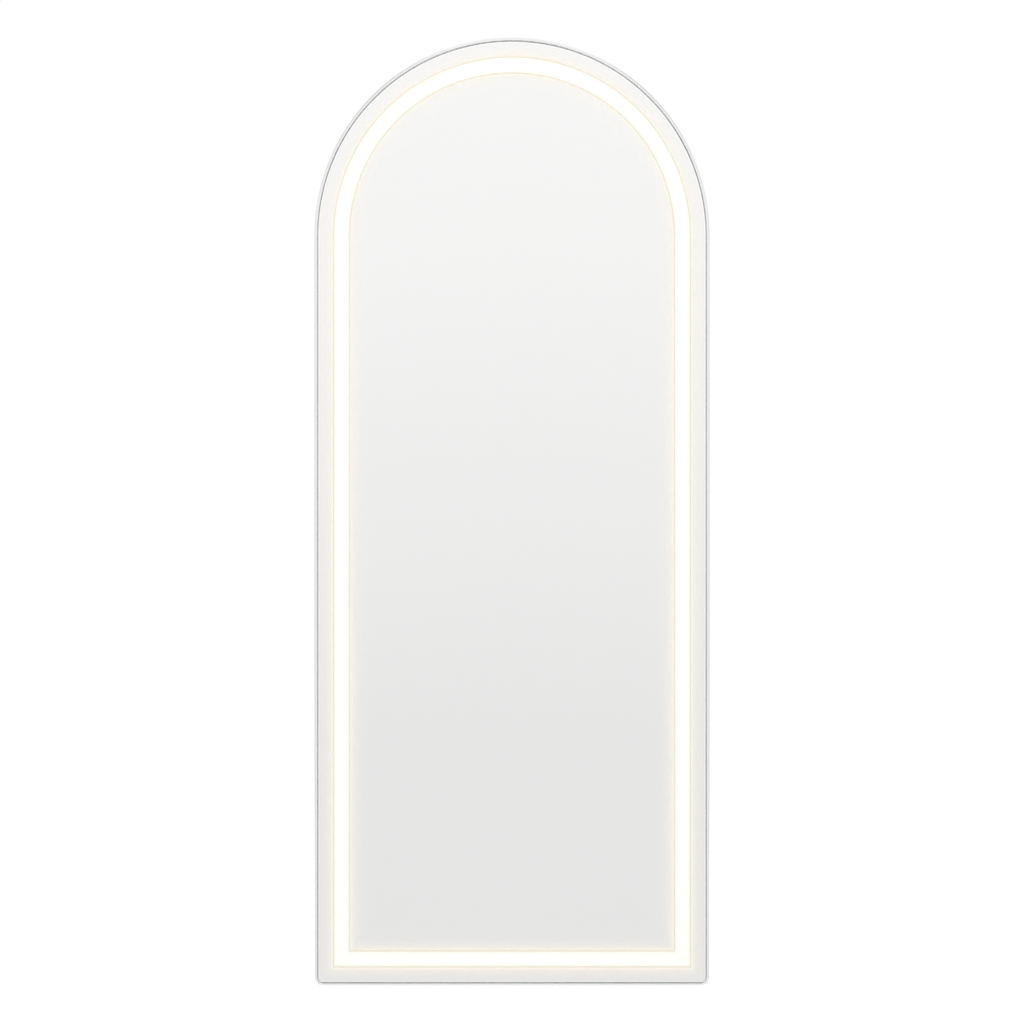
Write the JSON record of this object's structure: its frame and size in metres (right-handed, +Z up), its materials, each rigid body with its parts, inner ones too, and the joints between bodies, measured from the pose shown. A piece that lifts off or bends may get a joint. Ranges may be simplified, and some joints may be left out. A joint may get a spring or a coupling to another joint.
{
  "type": "lighted bathroom mirror",
  "caption": "Tall arched wall mirror in a slim satin metal frame, with an inset band of warm light behind the glass, hung on a wall rail.",
  "frame": {"origin": "midway between the two fixing holes of the wall rail, on the wall plane", "axes": "+X to the viewer's right, -Y out of the wall towards the viewer, +Z up"},
  "size_m": [0.5, 0.037, 1.1999],
  "materials": {
    "clear_glass": "polished",
    "silvering": "polished",
    "etched_light": "etched",
    "foam_tape": "matte",
    "frame_aluminium": "satin",
    "white_steel": "satin",
    "zinc_steel": "satin",
    "rivet_aluminium": "satin",
    "strip_board": "matte",
    "chip_lens": "gloss",
    "opal_sheet": "satin",
    "driver_case": "matte",
    "white_moulding": "matte",
    "block_moulding": "matte",
    "terminal_brass": "satin",
    "bush_rubber": "matte",
    "buffer_rubber": "matte",
    "lead_sheath": "matte",
    "earth_sheath": "matte"
  },
  "bodies": {
    "wall_rail": {"wall_rail": "zinc_steel"},
    "mirror": {"mirror_glass": "clear_glass", "silver_coating": "silvering", "frosted_band": "etched_light", "bonding_tape": "foam_tape", "outer_frame": "frame_aluminium", "frame_splice": "frame_aluminium", "splice_screws": "zinc_steel", "back_panel": "white_steel", "back_panel_screws": "zinc_steel", "wall_bumpers": "buffer_rubber", "led_channel": "white_steel", "channel_clips": "zinc_steel", "led_strip": "strip_board", "led_chips": "chip_lens", "strip_connector": "white_moulding", "diffuser": "opal_sheet", "led_driver": "driver_case", "driver_end_caps": "white_moulding", "driver_screws": "zinc_steel", "terminal_box_base": "white_moulding", "terminal_box_lid": "white_moulding", "terminal_box_screws": "zinc_steel", "terminal_block": "block_moulding", "terminal_screws": "terminal_brass", "cable_clamp": "white_moulding", "clamp_screws": "zinc_steel", "cable_grommet": "bush_rubber", "output_lead": "lead_sheath", "channel_grommet": "bush_rubber", "input_lead": "lead_sheath", "lead_grommet": "bush_rubber", "earth_lead": "earth_sheath", "earth_stud": "zinc_steel", "hanging_bar": "zinc_steel", "bar_rivets": "rivet_aluminium"}
  },
  "joints": [
    {"name": "lift_off", "type": "slide", "parent": "wall_rail", "child": "mirror", "axis": [0, 0, 1], "range_m": [0, 0.012]}
  ]
}
